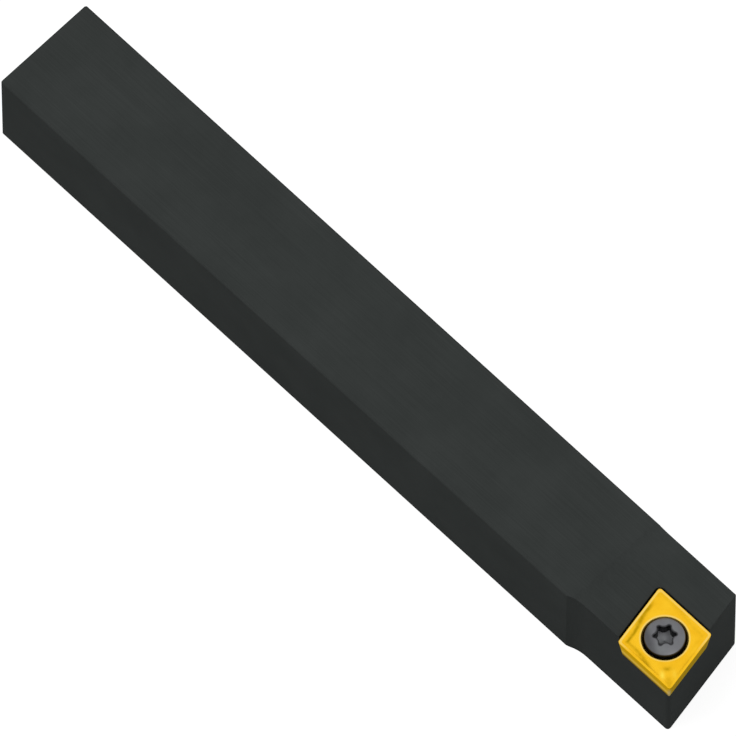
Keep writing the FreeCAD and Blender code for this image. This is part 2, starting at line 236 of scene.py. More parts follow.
def goldNitrideCarbide():
    material, tree = newMaterial("titanium_nitride_on_sintered_carbide")
    look = goldCoating
    coordinates = addNode(tree, "ShaderNodeTexCoord")
    grain = addNode(tree, "ShaderNodeTexNoise",
                    values={"Scale": 1 / (look["grain"] * millimetre), "Detail": 2.0},
                    links={"Vector": coordinates.outputs["Object"]})
    clouds = addNode(tree, "ShaderNodeTexNoise",
                     values={"Scale": 1 / (look["cloudSize"] * millimetre), "Detail": 3.0},
                     links={"Vector": coordinates.outputs["Object"]})
    tone = addNode(tree, "ShaderNodeMapRange", values=cloudSpan,
                   links={"Value": clouds.outputs["Fac"]})
    topTone = addNode(tree, "ShaderNodeMix", {"data_type": "RGBA"},
                      {6: linearColour(look["top"]), 7: linearColour(look["topDeep"])},
                      {"Factor": tone.outputs["Result"]})
    height = addNode(tree, "ShaderNodeSeparateXYZ", links={0: coordinates.outputs["Object"]})
    below = {}
    for name in ("flankSplit", "footShadeSplit"):
        high, low = look[name]
        below[name] = addNode(tree, "ShaderNodeMapRange", {"interpolation_type": "SMOOTHSTEP"},
                              {"From Min": high * millimetre, "From Max": low * millimetre},
                              {"Value": height.outputs["Z"]}).outputs["Result"]
    # paler lower band of the flanks: a painted reflection
    paler = addNode(tree, "ShaderNodeMix", {"data_type": "RGBA"},
                    {6: linearColour(look["flank"]), 7: linearColour(look["flankFootLight"])},
                    {"Factor": below["flankSplit"]})
    # painted shade darkens the flanks' foot against the seat
    flankTone = addNode(tree, "ShaderNodeMix", {"data_type": "RGBA"},
                        {7: linearColour(look["shadedFoot"])},
                        {"Factor": below["footShadeSplit"], 6: paler.outputs[2]})
    patches = addNode(tree, "ShaderNodeTexNoise",
                      values={"Scale": 1 / (look["patchSize"] * millimetre), "Detail": 2.0},
                      links={"Vector": coordinates.outputs["Object"]})
    patchy = addNode(tree, "ShaderNodeMapRange",
                     values={"From Min": look["patchSpan"][0], "From Max": look["patchSpan"][1],
                             "To Min": look["patchTone"][0], "To Max": look["patchTone"][1]},
                     links={"Value": patches.outputs["Fac"]})
    flank = addNode(tree, "ShaderNodeAttribute", {"attribute_name": "flank"})
    colour = addNode(tree, "ShaderNodeMix", {"data_type": "RGBA"}, links={
        "Factor": flank.outputs["Fac"], 6: topTone.outputs[2], 7: flankTone.outputs[2]})
    # painted light mixed into the colour: painted shade on the front flank, in the groove and inside
    # the hole, painted highlights on the bumps' crests, the edges and the hole's rim; the grey carbide
    # is wear
    for zone, tint in (("front", "frontFlankShade"), ("groove", "groove"), ("crest", "crest"),
                       ("edgeAndRimHighlight", "edgeHighlight"), ("worn", "bareCarbide"), ("hole", "hole")):
        share = addNode(tree, "ShaderNodeAttribute", {"attribute_name": zone}).outputs["Fac"]
        if zone == "groove":
            share = addNode(tree, "ShaderNodeMath", {"operation": "MULTIPLY"},
                            links={0: share, 1: patchy.outputs["Result"]}).outputs[0]
        colour = addNode(tree, "ShaderNodeMix", {"data_type": "RGBA"}, {7: linearColour(look[tint])},
                         {"Factor": share, 6: colour.outputs[2]})
    gloss = addNode(tree, "ShaderNodeMapRange",
                    values={"To Min": look["roughness"], "To Max": look["flankRoughness"]},
                    links={"Value": flank.outputs["Fac"]})
    bump = addNode(tree, "ShaderNodeBump",
                   values={"Strength": look["grainBump"], "Distance": look["bumpHeight"] * millimetre},
                   links={"Height": grain.outputs["Fac"]})
    shader = addNode(tree, "ShaderNodeBsdfPrincipled",
                     values={"Metallic": 1.0, "Specular Tint": (*look["grazing"], 1.0)},
                     links={"Base Color": colour.outputs[2], "Roughness": gloss.outputs["Result"],
                            "Normal": bump.outputs["Normal"]})
    addNode(tree, "ShaderNodeOutputMaterial", links={"Surface": shader.outputs["BSDF"]})
    return material


# Hardened and blackened screw steel: a mid grey metal with a faint violet cast from tempering, darker
# with painted shade on the head's side, in the recess, on one side of the crown and down the shank
screwSteel = {
    "base": "#76787A",
    # the dark tone is painted shade
    "tempered": "#707074",
    "screwShade": "#3A3A3C",
    "roughness": 0.4,
    "grain": 0.15,           # mm
    "cloudSize": 1.6,        # mm
    "grainBump": 0.08,
    "bumpHeight": 0.01,      # mm
}


def temperedScrewSteel():
    material, tree = newMaterial("tempered_blackened_screw_steel")
    look = screwSteel
    coordinates = addNode(tree, "ShaderNodeTexCoord")
    grain = addNode(tree, "ShaderNodeTexNoise",
                    values={"Scale": 1 / (look["grain"] * millimetre), "Detail": 3.0},
                    links={"Vector": coordinates.outputs["Object"]})
    clouds = addNode(tree, "ShaderNodeTexNoise",
                     values={"Scale": 1 / (look["cloudSize"] * millimetre), "Detail": 3.0},
                     links={"Vector": coordinates.outputs["Object"]})
    tone = addNode(tree, "ShaderNodeMapRange", values=cloudSpan,
                   links={"Value": clouds.outputs["Fac"]})
    worn = addNode(tree, "ShaderNodeMix", {"data_type": "RGBA"},
                   {6: linearColour(look["base"]), 7: linearColour(look["tempered"])},
                   {"Factor": tone.outputs["Result"]})
    # painted shade, carried by a point attribute
    screwShade = addNode(tree, "ShaderNodeAttribute", {"attribute_name": "screwShade"})
    colour = addNode(tree, "ShaderNodeMix", {"data_type": "RGBA"}, {7: linearColour(look["screwShade"])},
                     {"Factor": screwShade.outputs["Fac"], 6: worn.outputs[2]})
    bump = addNode(tree, "ShaderNodeBump",
                   values={"Strength": look["grainBump"], "Distance": look["bumpHeight"] * millimetre},
                   links={"Height": grain.outputs["Fac"]})
    shader = addNode(tree, "ShaderNodeBsdfPrincipled",
                     values={"Metallic": 1.0, "Roughness": look["roughness"]},
                     links={"Base Color": colour.outputs[2], "Normal": bump.outputs["Normal"]})
    addNode(tree, "ShaderNodeOutputMaterial", links={"Surface": shader.outputs["BSDF"]})
    return material


# Holder: the CAD body with its edges broken by a fine bevel, as deburring leaves them
holderForm = {
    "mergeWithin": 1e-7,     # metres between the corners of neighbouring triangles
    "flatAngle": 0.5,        # degrees, below which triangles belong to one flat face
    "edgeBreak": 0.05,       # mm
    "edgeSteps": 2,
    "edgeAngle": 24.0,       # degrees, above which an edge counts as one
}


def buildHolder():
    form = holderForm
    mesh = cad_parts["holder_body"].data.copy()
    work = bmesh.new()
    work.from_mesh(mesh)
    bmesh.ops.remove_doubles(work, verts=work.verts, dist=form["mergeWithin"])
    bmesh.ops.dissolve_limit(work, angle_limit=math.radians(form["flatAngle"]),
                             verts=work.verts, edges=work.edges)
    work.to_mesh(mesh)
    work.free()
    holder = bpy.data.objects.new("blackened_holder", mesh)
    bpy.context.scene.collection.objects.link(holder)
    mesh.materials.clear()
    mesh.materials.append(blackOxideSteel())
    smoothByAngle(holder, form["edgeAngle"])
    bevel = holder.modifiers.new("deburred edges", "BEVEL")
    bevel.width = form["edgeBreak"] * millimetre
    bevel.segments = form["edgeSteps"]
    bevel.limit_method = "ANGLE"
    bevel.angle_limit = math.radians(form["edgeAngle"])
    bevel.use_clamp_overlap = False
    bevel.harden_normals = True
    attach(holder, "holder")
    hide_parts("holder_body")
    return holder


# Insert, in mm: rings of a rounded rhombus run from the foot up the flanks and over the top to the
# hole. A height rule presses the chip groove, its island and the bumps at the corners into the top
insertForm = {
    "leanAngle": 10.0,       # degrees, the front edge off square; the side edge runs along X
    "clearance": 7.0,        # degrees, slope of the flanks
    "cornerRadius": 0.4,
    "footRadius": 0.12,
    "footHeight": 0.04,
    "edgeHone": 0.03,        # rounding of the cutting edge
    "radiusLoss": 0.1,       # by which the corner's radius shrinks per mm from the edge
    "leastRadius": 0.25,
    "landWidth": 0.2,
    "grooveDepth": 0.13,
    "grooveBottom": 0.64,    # from the edge to the deepest line
    "islandInset": 1.2,      # from the edge to the island's foot at the blunt corners
    "islandNear": 0.66,      # and towards the cutting corners
    "footTurn": (0.1, 0.55),  # share of the way between them over which the foot draws near the edge
    "islandSlope": 0.5,
    "ringRadius": 4.4,       # ring groove that parts the island from the cutting corners
    "ringWidth": 0.32,
    "ringDepth": 0.06,
    "bumpAlong": 5.29,       # two chip-breaking bumps at each cutting corner, from the hole's axis
    "bumpAcross": 0.82,      # and from the corner's bisector
    "bumpLength": 0.8,
    "bumpWidth": 0.42,
    "bumpHeight": 0.15,
    "lineOffset": 0.16,      # the ochre line of painted shade in the groove runs this far outside the island's foot
    "lineWidth": 0.26,
    "lineReach": (0.9, 1.5),    # from an edge, over which the line along it fades out
    "rearLine": 1.0,         # strength of the line along each edge, and that of its dash in the ring
    "sideLine": 0.65,
    "farLine": 0.2,
    "frontLine": 0.08,
    "dashLine": 0.7,
    "rearFade": (0.3, 0.7),  # share of the half width over which the line fades towards the far edge
    "sideFade": (0.15, 0.5),    # and towards the front edge
    "dashMiddle": 0.32,      # from the cutting corner's diagonal
    "dashLength": 0.55,
    "valleyLine": 0.4,       # strength in the valley between the two bumps, up to the cutting corner
    "valleyWidth": 0.42,
    "valleyStart": (5.2, 6.0),    # from the hole's axis
    "frontTurn": (0.0, 0.25),    # where the front flank's painted shade takes over at the corners
    "cornerWear": 0.5,       # share of bare grey carbide down the upright edge of the corner in use
    "cornerBand": (0.1, 0.35),
    "wearEnd": (2.2, 3.4),   # heights above the underside between which it fades out
    "highlightBand": 0.38,       # width of the painted highlight along the rear and far edges
    "highlightStart": (0.02, 0.12),
    "highlightFull": 0.65,       # share of that width before the band fades
    "edgeHighlight": 0.2,        # strength of the painted highlight on the rounded edge itself
    "highlightAlong": (-0.7, 0.0),    # where the painted highlight sets in, at the two blunt corners,
    "highlightEnd": (0.6, 1.0),  # and where it loses a share of its strength, along the far edge
    "highlightLoss": 0.3,
    "rimBand": 0.26,         # width of the painted highlight round the hole
    "rimStart": 0.05,
    "crestAlong": (0.4, 1.2),    # where the painted highlight on the bumps' crests shows: at the corner in use
    "crestInFront": 0.35,    # strength of the painted highlight on the crest nearer to the front edge
    "crestTurn": (-0.4, 0.1),
    "bore": 4.4,
    "sink": 6.25,
    "sinkRounding": 0.1,
    "seatRadius": 2.78,
    "lipHeight": 0.3,
    "lipShade": ((0.25, 0.45), (0.55, 0.9), (1.0, 1.0)),    # share of the way down it, and of painted shade there
    "coneAngle": 60.0,
    "boreBevel": 0.1,
    "sideSteps": 44,
    "cornerSteps": 12,
    "footRings": (1.0, 0.9, 0.6, 0.3, 0.0),    # share of the way from the edge to the hole
    "flankRings": 12,
    "honeRings": 3,
    "topRings": 34,
    "topReach": 1.3,         # how far from the edge the top's rings run parallel to it
    "inwardRings": 24,
    "inwardEase": 1.3,
    "rimRings": 4,
    "smoothAngle": 28.0,
}


def smoothStep(low, high, value):
    share = min(max((value - low) / (high - low), 0.0), 1.0)
    return share * share * (3 - 2 * share)


def rhombusRing(half, radius):
    form = insertForm
    lean = math.radians(form["leanAngle"])
    straight = half - radius
    acuteX = straight * (1 + math.sin(lean)) / math.cos(lean)
    bluntX = straight * (1 - math.sin(lean)) / math.cos(lean)
    centres = [(acuteX, -straight), (bluntX, straight), (-acuteX, straight), (-bluntX, -straight)]
    turns = [(-math.pi / 2, lean), (lean, math.pi / 2), (math.pi / 2, math.pi + lean),
             (math.pi + lean, 1.5 * math.pi)]
    ring = []
    for corner in range(4):
        x, y = centres[corner]
        start, end = turns[corner]
        for step in range(form["cornerSteps"] + 1):
            angle = start + (end - start) * step / form["cornerSteps"]
            ring.append((x + radius * math.cos(angle), y + radius * math.sin(angle)))
        nextX, nextY = centres[(corner + 1) % 4]
        first = ring[-1]
        last = (nextX + radius * math.cos(end), nextY + radius * math.sin(end))
        for step in range(1, form["sideSteps"]):
            share = step / form["sideSteps"]
            ring.append((first[0] + (last[0] - first[0]) * share,
                         first[1] + (last[1] - first[1]) * share))
    return ring


# A point's distance towards the cutting corner in use, along the long diagonal, and that beside it
def onDiagonal(x, y):
    bisector = -(math.pi / 2 - math.radians(insertForm["leanAngle"])) / 2
    alongX, alongY = math.cos(bisector), math.sin(bisector)
    return x * alongX + y * alongY, x * alongY - y * alongX


# 1 on the crest of the nearest of the four bumps and 0 away from them
def bumpShare(x, y):
    form = insertForm
    towardsNose, beside = onDiagonal(x, y)
    along = abs(towardsNose) - form["bumpAlong"]
    across = abs(beside) - form["bumpAcross"]
    return math.exp(-2 * ((along / form["bumpLength"]) ** 2 + (across / form["bumpWidth"]) ** 2))


# 1 along the middle of the ring groove and 0 away from it
def ringShare(x, y):
    return math.exp(-((math.hypot(x, y) - insertForm["ringRadius"]) / insertForm["ringWidth"]) ** 2)


# A point's distance towards the front edge, on the axis that stands square to it
def towardsFront(x, y):
    lean = math.radians(insertForm["leanAngle"])
    return x * math.cos(lean) + y * math.sin(lean)


# How far a point lies inside the foot of the raised island, negative in the groove round it
def insideIsland(x, y, half):
    form = insertForm
    inset = half - max(abs(y), abs(towardsFront(x, y)))
    diagonal = half / math.sin((math.pi / 2 - math.radians(form["leanAngle"])) / 2)
    nearing = smoothStep(*form["footTurn"], abs(onDiagonal(x, y)[0]) / diagonal)
    return inset - form["islandInset"] + (form["islandInset"] - form["islandNear"]) * nearing


# How far the pressed top lies below the cutting edge at a point of it
def pressedDepth(x, y, half):
    form = insertForm
    inset = half - max(abs(y), abs(towardsFront(x, y)))
    groove = form["grooveDepth"] * smoothStep(form["landWidth"], form["grooveBottom"], inset)
    onIsland = smoothStep(0.0, form["islandSlope"], insideIsland(x, y, half))
    depth = groove * (1 - onIsland) + form["ringDepth"] * ringShare(x, y) * onIsland
    return max(depth - form["bumpHeight"] * bumpShare(x, y), 0.0)


# Share of ochre painted shade at a point of the top: a line along the groove's bottom, strong at the
# rear and side edges and faint at the two others, a dash of the ring near the cutting corner in use,
# and the valley that runs from there between the bumps
def grooveShadeShare(x, y, half):
    form = insertForm
    line = math.exp(-((insideIsland(x, y, half) + form["lineOffset"]) / form["lineWidth"]) ** 2)
    edges = (
        (half + towardsFront(x, y), form["rearLine"] * (1 - smoothStep(*form["rearFade"], y / half))),
        (half + y, form["sideLine"] * (1 - smoothStep(*form["sideFade"], x / half))),
        (half - y, form["farLine"]),
        (half - towardsFront(x, y), form["frontLine"]))
    strength = max(share * (1 - smoothStep(*form["lineReach"], inset)) for inset, share in edges)
    alongDash = (x + y) / math.sqrt(2) - form["dashMiddle"]
    dash = ringShare(x, y) * math.exp(-(alongDash / form["dashLength"]) ** 2) if x > y else 0.0
    along, beside = onDiagonal(x, y)
    valley = math.exp(-(beside / form["valleyWidth"]) ** 2) * smoothStep(*form["valleyStart"], along)
    return max(line * strength, form["dashLine"] * dash, form["valleyLine"] * valley)


def buildInsert():
    form = insertForm
    low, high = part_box("cutting_insert")
    centre = (low + high) / 2
    half = (high.y - low.y) / 2 / millimetre
    thickness = (high.z - low.z) / millimetre
    clearance = math.tan(math.radians(form["clearance"]))
    bore = form["bore"] / 2
    sink = form["sink"] / 2
    rimRound = form["sinkRounding"]
    rings = []
    zones = {"flank": [], "front": [], "groove": [], "crest": [], "edgeAndRimHighlight": [], "worn": [], "hole": []}

    def addRing(inset, height, radius=None, share=0.0, circle=0.0, flank=0.0, pale=0.0, inHole=0.0):
        if radius is None:
            radius = max(form["cornerRadius"] - inset * form["radiusLoss"], form["leastRadius"])
        ring = []
        for x, y in rhombusRing(half - inset, radius):
            fromAxis = math.hypot(x, y)
            atX = x + (circle * x / fromAxis - x) * share
            atY = y + (circle * y / fromAxis - y) * share
            onTop = height is None
            ring.append((atX, atY, thickness - pressedDepth(atX, atY, half) if onTop else height))
            towardsHolder, towardsFar = -(x + y) / half, (y - x) / half
            zones["groove"].append(grooveShadeShare(atX, atY, half) if onTop else 0.0)
            zones["flank"].append(flank)
            # painted shade on the front flank
            frontShare = smoothStep(*form["frontTurn"], towardsFront(x, y) - abs(y))
            zones["front"].append(flank * frontShare)
            along, beside = onDiagonal(x, y)
            worn = flank * form["cornerWear"] * (1 - smoothStep(*form["cornerBand"], abs(beside)))
            worn *= 1 - smoothStep(*form["wearEnd"], height) if along > 0 and not onTop else 0.0
            zones["worn"].append(worn)
            # painted highlight along the rear and far edges and round the hole's rim
            onEdge = pale * smoothStep(*form["highlightAlong"], towardsFar)
            onEdge *= 1 - form["highlightLoss"] * smoothStep(*form["highlightEnd"], y / half)
            fromRim = math.hypot(atX, atY) - sink - rimRound
            onRim = 0.0 if flank else 1 - smoothStep(form["rimStart"], form["rimBand"], fromRim)
            zones["edgeAndRimHighlight"].append(max(onEdge, onRim))
            # painted highlight on the bumps' crests at the corner in use
            onBump = bumpShare(atX, atY) if onTop else 0.0
            onBump *= smoothStep(*form["crestAlong"], -towardsFar)
            inFront = form["crestInFront"]
            strength = inFront + (1 - inFront) * smoothStep(*form["crestTurn"], towardsHolder)
            zones["crest"].append(onBump * strength)
            zones["hole"].append(inHole)
        rings.append(ring)

    # underside, from the hole outwards
    for share in form["footRings"]:
        addRing(thickness * clearance + form["footHeight"], 0.0, form["footRadius"], share,
                bore + form["boreBevel"], 1.0)
    # flanks, from the foot to the cutting edge
    rise = thickness - form["edgeHone"] - form["footHeight"]
    for step in range(form["flankRings"] + 1):
        height = form["footHeight"] + rise * step / form["flankRings"]
        radius = form["footRadius"] + (form["cornerRadius"] - form["footRadius"]) * height / thickness
        addRing((thickness - height) * clearance, height, radius,
                flank=1.0 if step < form["flankRings"] else 0.5)
    # honed cutting edge
    # the paler tone on the edge and along the band is a painted highlight
    hone, onEdgeHighlight = form["edgeHone"], form["edgeHighlight"]
    for step in range(1, form["honeRings"] + 1):
        angle = math.pi / 2 * step / form["honeRings"]
        addRing(hone * (1 - math.cos(angle)), thickness - hone * (1 - math.sin(angle)), pale=onEdgeHighlight)
    # top, first parallel to the edges and then drawn in to the hole's rim
    count, reach, band = form["topRings"], form["topReach"], form["highlightBand"]
    for step in range(1, count + 1):
        inset = hone + (reach - hone) * step / count
        pale = smoothStep(*form["highlightStart"], inset)
        pale *= 1 - smoothStep(band * form["highlightFull"], band, inset)
        addRing(inset, None, pale=onEdgeHighlight + (1 - onEdgeHighlight) * pale if inset < band / 2 else pale)
    inward = form["inwardRings"]
    for step in range(1, inward + 1):
        addRing(reach, None, None, 1 - (1 - step / inward) ** form["inwardEase"], sink + rimRound)
    # countersink: rounded rim, steep lip, cone and bore
    lipZ = thickness - form["lipHeight"]
    lipSlope = math.atan2(form["lipHeight"], sink - form["seatRadius"])
    for step in range(1, form["rimRings"] + 1):
        angle = lipSlope * step / form["rimRings"]
        rimX = sink + rimRound * (1 - math.sin(angle))
        rimZ = thickness - rimRound * (1 - math.cos(angle))
        addRing(reach, rimZ, None, 1.0, rimX)
    # painted shade down the lip and inside the hole
    for share, inHole in form["lipShade"]:
        addRing(reach, rimZ + (lipZ - rimZ) * share, None, 1.0,
                rimX + (form["seatRadius"] - rimX) * share, inHole=inHole)
    coneFoot = lipZ - (form["seatRadius"] - bore) / math.tan(math.radians(form["coneAngle"] / 2))
    for share in (0.5, 1.0):
        addRing(reach, lipZ + (coneFoot - lipZ) * share, None, 1.0,
                form["seatRadius"] + (bore - form["seatRadius"]) * share, inHole=1.0)
    addRing(reach, form["boreBevel"], None, 1.0, bore, inHole=1.0)
    origin = Vector((centre.x, centre.y, low.z))
    placed = [[origin + Vector(point) * millimetre for point in ring] for ring in rings]
    points, faces = ringSkin(placed)
    insert = meshObject("gold_cutting_insert", points, faces)
    for name, shares in zones.items():
        insert.data.attributes.new(name, "FLOAT", "POINT").data.foreach_set("value", shares)
    insert.data.materials.append(goldNitrideCarbide())
    smoothByAngle(insert, form["smoothAngle"])
    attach(insert, "holder")
    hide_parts("cutting_insert")
    return insert


# Screw, in mm: rings from the recess's floor over the head and down to the tip, with a thread cut in
# by nodes
screwForm = {
    "length": 11.0,          # tip to the crest of the domed head
    "head": 5.5,
    "domeRadius": 4.9,
    "headRounding": 0.3,
    "thread": 4.0,
    "pitch": 0.7,
    "threadDepth": 0.38,
    "coneAngle": 60.0,
    "coneTop": 1.65,         # below the dome's crest
    "tipBevel": 0.5,
    "recess": 3.3,
    "lobeRadius": 0.3,
    "ribRadius": 0.68,
    "lobes": 6,
    "firstLobe": 50.0,       # degrees
    "recessDepth": 1.7,      # below the dome's crest
    "floorDish": 0.3,
    "wallInset": 0.12,       # the recess's walls stand inside its full width, reached at the mouth
    "mouthBevel": 0.18,
    "lobeSteps": 10,
    "ribSteps": 10,
    "floorRings": (0.12, 0.35, 0.6, 0.8, 0.93),    # share of the way out to the walls
    "floorCircle": 0.6,      # of the recess's radius, the circle that the innermost rings follow
    "footEdge": 0.02,        # between the last ring of the floor and the walls' foot
    "wallRings": (0.02, 0.3, 0.7),
    "crownRings": (0.05, 0.1, 0.25, 0.4, 0.55, 0.7, 0.85),
    "coneEdge": 0.02,        # bevel between the head's side and the cone
    "coneRings": (0.35, 0.7, 1.0),
    "tipRings": (0.25, 0.5, 0.75, 1.0),
    "rowsPerTurn": 16,
    "neck": 0.5,             # plain length under the cone
    "threadEnd": 0.3,        # share of the tip's bevel at which the thread has faded out
    "rootToCrest": 0.4375,   # of the pitch, from the middle of the root to the edge of the crest
    "flankRun": 0.3125,      # of the pitch, which the flank takes of that
    "smoothAngle": 30.0,
    "floorFootDark": 0.6,    # share of painted shade, here and ring by ring in the lines below
    "mouthDark": (1.0, 1.0, 1.0, 0.7),
    "mouthEdgeDark": 0.4,
    "headEdgeDark": (0.0, 0.3, 0.7, 1.0, 1.0, 1.0),
    "coneEdgeDark": 0.7,
    "shankDark": 0.4,
    "darkSide": 242.0,       # degrees, the side of the crown that gets painted shade
    "crownDark": 0.55,
    "crownSpan": (1.2, 2.3),    # from the axis, where it sets in on that side
    "floorDark": 0.35,       # painted shade makes the recess's floor darker on the other side
    "floorSpan": (0.0, 0.7),
    "noseSpan": (0.25, 0.7),    # and towards the cutting corner
}


def recessRing(offset):
    form = screwForm
    lobe = form["lobeRadius"] + offset
    rib = form["ribRadius"] - offset
    lobeReach = form["recess"] / 2 - form["lobeRadius"]
    half = math.pi / form["lobes"]
    spread = form["lobeRadius"] + form["ribRadius"]
    ribReach = lobeReach * math.cos(half) + math.sqrt(spread ** 2 - (lobeReach * math.sin(half)) ** 2)
    ring = []
    for index in range(form["lobes"]):
        direction = math.radians(form["firstLobe"]) + 2 * half * index
        lobeCentre = Vector((math.cos(direction), math.sin(direction))) * lobeReach
        after = Vector((math.cos(direction + half), math.sin(direction + half))) * ribReach
        toRib = after - lobeCentre
        touch = math.atan2(toRib.y, toRib.x) - direction
        touch = (touch + math.pi) % (2 * math.pi) - math.pi
        for step in range(form["lobeSteps"]):
            angle = direction - touch + 2 * touch * step / form["lobeSteps"]
            ring.append((lobeCentre.x + lobe * math.cos(angle), lobeCentre.y + lobe * math.sin(angle)))
        back = lobeCentre - after
        start = math.atan2(back.y, back.x)
        middle = direction + half + math.pi
        swing = (middle - start + math.pi) % (2 * math.pi) - math.pi
        for step in range(form["ribSteps"]):
            angle = start + 2 * swing * step / form["ribSteps"]
            ring.append((after.x + rib * math.cos(angle), after.y + rib * math.sin(angle)))
    return ring


# Rings of the screw, and for each of their points its share of painted shade
def screwRings():
    form = screwForm
    length = form["length"]
    head = form["head"] / 2
    thread = form["thread"] / 2
    bevel, inset = form["mouthBevel"], form["wallInset"]
    directions = [Vector(point).normalized() for point in recessRing(0.0)]
    darkAngle = math.radians(form["darkSide"])
    darkX, darkY = math.cos(darkAngle), math.sin(darkAngle)
    rings, dark = [], []

    # painted shade on one side of the crown, and on the recess's floor on the other side and towards
    # the nose
    def addRing(ring, screwShade, crown=0.0, inFloor=0.0):
        rings.append(ring)
        for x, y, _ in ring:
            side, nose = x * darkX + y * darkY, (x - y) / math.sqrt(2)
            onCrown = crown * smoothStep(*form["crownSpan"], side)
            onFloor = inFloor * max(form["floorDark"] * smoothStep(*form["floorSpan"], -side),
                                    smoothStep(*form["noseSpan"], nose))
            dark.append(max(screwShade, onCrown, onFloor))

    def circle(radius, height):
        return [(d.x * radius, d.y * radius, height) for d in directions]

    def domeHeight(reach):
        return length - form["domeRadius"] + math.sqrt(form["domeRadius"] ** 2 - reach ** 2)

    floor = length - form["recessDepth"]
    reach = form["recess"] / 2

    # the floor is a drill's shallow cone, so its height follows the distance from the axis
    def floorPoint(x, y):
        return (x, y, floor - form["floorDish"] * (1 - math.hypot(x, y) / reach))

    floorEdge = recessRing(-inset - form["footEdge"])
    for share in form["floorRings"]:
        circleReach = reach * form["floorCircle"] * share
        inner = [(d.x * circleReach, d.y * circleReach) for d in directions]
        outer = [(x * share, y * share) for x, y in floorEdge]
        addRing([floorPoint(a[0] + (b[0] - a[0]) * share, a[1] + (b[1] - a[1]) * share)
                 for a, b in zip(inner, outer)], 0.0, inFloor=1.0)
    addRing([floorPoint(x, y) for x, y in floorEdge], form["floorFootDark"])
    foot = [floorPoint(x, y) for x, y in recessRing(-inset)]
    for share in form["wallRings"]:
        addRing([(x, y, z + (domeHeight(math.hypot(x, y)) - bevel - z) * share)
                 for x, y, z in foot], 1.0)
    for step, screwShade in enumerate(form["mouthDark"]):
        angle = math.pi / 2 * step / (len(form["mouthDark"]) - 1)
        outline = recessRing(bevel * (1 - math.cos(angle)) - inset)
        addRing([(x, y, domeHeight(math.hypot(x, y)) - bevel * (1 - math.sin(angle)))
                 for x, y in outline], screwShade)
    # crown: the dome from the recess out to where the rounded edge begins
    edgeX = head - form["headRounding"]
    innerDome = form["domeRadius"] - form["headRounding"]
    edgeZ = length - form["domeRadius"] + math.sqrt(innerDome ** 2 - edgeX ** 2)
    edgeStart = math.atan2(edgeZ - length + form["domeRadius"], edgeX)
    rim = circle(edgeX + form["headRounding"] * math.cos(edgeStart), 0)
    for share in form["crownRings"]:
        between = [(a[0] + (b[0] - a[0]) * share, a[1] + (b[1] - a[1]) * share)
                   for a, b in zip(outline, rim)]
        addRing([(x, y, domeHeight(math.hypot(x, y))) for x, y in between],
                form["mouthEdgeDark"] if share == form["crownRings"][0] else 0.0,
                crown=form["crownDark"])
    for step, screwShade in enumerate(form["headEdgeDark"]):
        angle = edgeStart * (1 - step / (len(form["headEdgeDark"]) - 1))
        addRing(circle(edgeX + form["headRounding"] * math.cos(angle),
                       edgeZ + form["headRounding"] * math.sin(angle)),
                screwShade, crown=form["crownDark"])
    coneTop = length - form["coneTop"]
    coneFoot = coneTop - (head - thread) / math.tan(math.radians(form["coneAngle"] / 2))
    edge, tip, plain = form["coneEdge"], form["tipBevel"], form["shankDark"]
    addRing(circle(head, coneTop + 2 * edge), 1.0)
    addRing(circle(head - edge, coneTop - edge), form["coneEdgeDark"])
    for share in form["coneRings"]:
        addRing(circle(head + (thread - head) * share, coneTop + (coneFoot - coneTop) * share), plain)
    rowHeight = form["pitch"] / form["rowsPerTurn"]
    height = coneFoot - rowHeight
    while height > tip:
        addRing(circle(thread, height), plain)
        height -= rowHeight
    for share in form["tipRings"]:
        addRing(circle(thread - tip * share, tip * (1 - share)), plain)
    dark += [0.0, plain]    # the centre points of the recess's floor and of the tip
    return rings, dark, floor - form["floorDish"], coneFoot


# The thread's groove as a node tree: each point moves inwards by a helical ridge profile. A row of the
# sum is the step's name, its operation and what it takes: earlier steps, inputs or numbers
threadInputs = ("Pitch", "Depth", "Top", "Bottom", "Axis X", "Axis Y")
threadSteps = [
    ("off X", "SUBTRACT", ("X", "Axis X")),
    ("off Y", "SUBTRACT", ("Y", "Axis Y")),
    ("angle", "ARCTAN2", ("off Y", "off X")),
    ("turn", "DIVIDE", ("angle", 2 * math.pi)),
    ("rise", "DIVIDE", ("Z", "Pitch")),
    ("climb", "SUBTRACT", ("rise", "turn")),
    ("raised", "ADD", ("climb", 10.0)),    # so that the fraction is taken of a number above 0
    ("phase", "FRACT", ("raised",)),
    ("from root", "SUBTRACT", ("phase", 0.5)),
    ("away", "ABSOLUTE", ("from root",)),
    ("in root", "SUBTRACT", (screwForm["rootToCrest"], "away")),
    ("cut", "DIVIDE", ("in root", screwForm["flankRun"])),
    ("below top", "SUBTRACT", ("Top", "Z")),
    ("top fade", "DIVIDE", ("below top", "Pitch")),
    ("above bottom", "SUBTRACT", ("Z", "Bottom")),
    ("half pitch", "MULTIPLY", ("Pitch", 0.5)),
    ("bottom fade", "DIVIDE", ("above bottom", "half pitch")),
    ("full depth", "MULTIPLY", ("cut", "Depth")),
    ("fade", "MULTIPLY", ("top fade", "bottom fade")),
    ("depth", "MULTIPLY", ("full depth", "fade")),
    ("inward", "MULTIPLY", ("depth", -1.0)),
]
clampedSteps = ("cut", "top fade", "bottom fade")


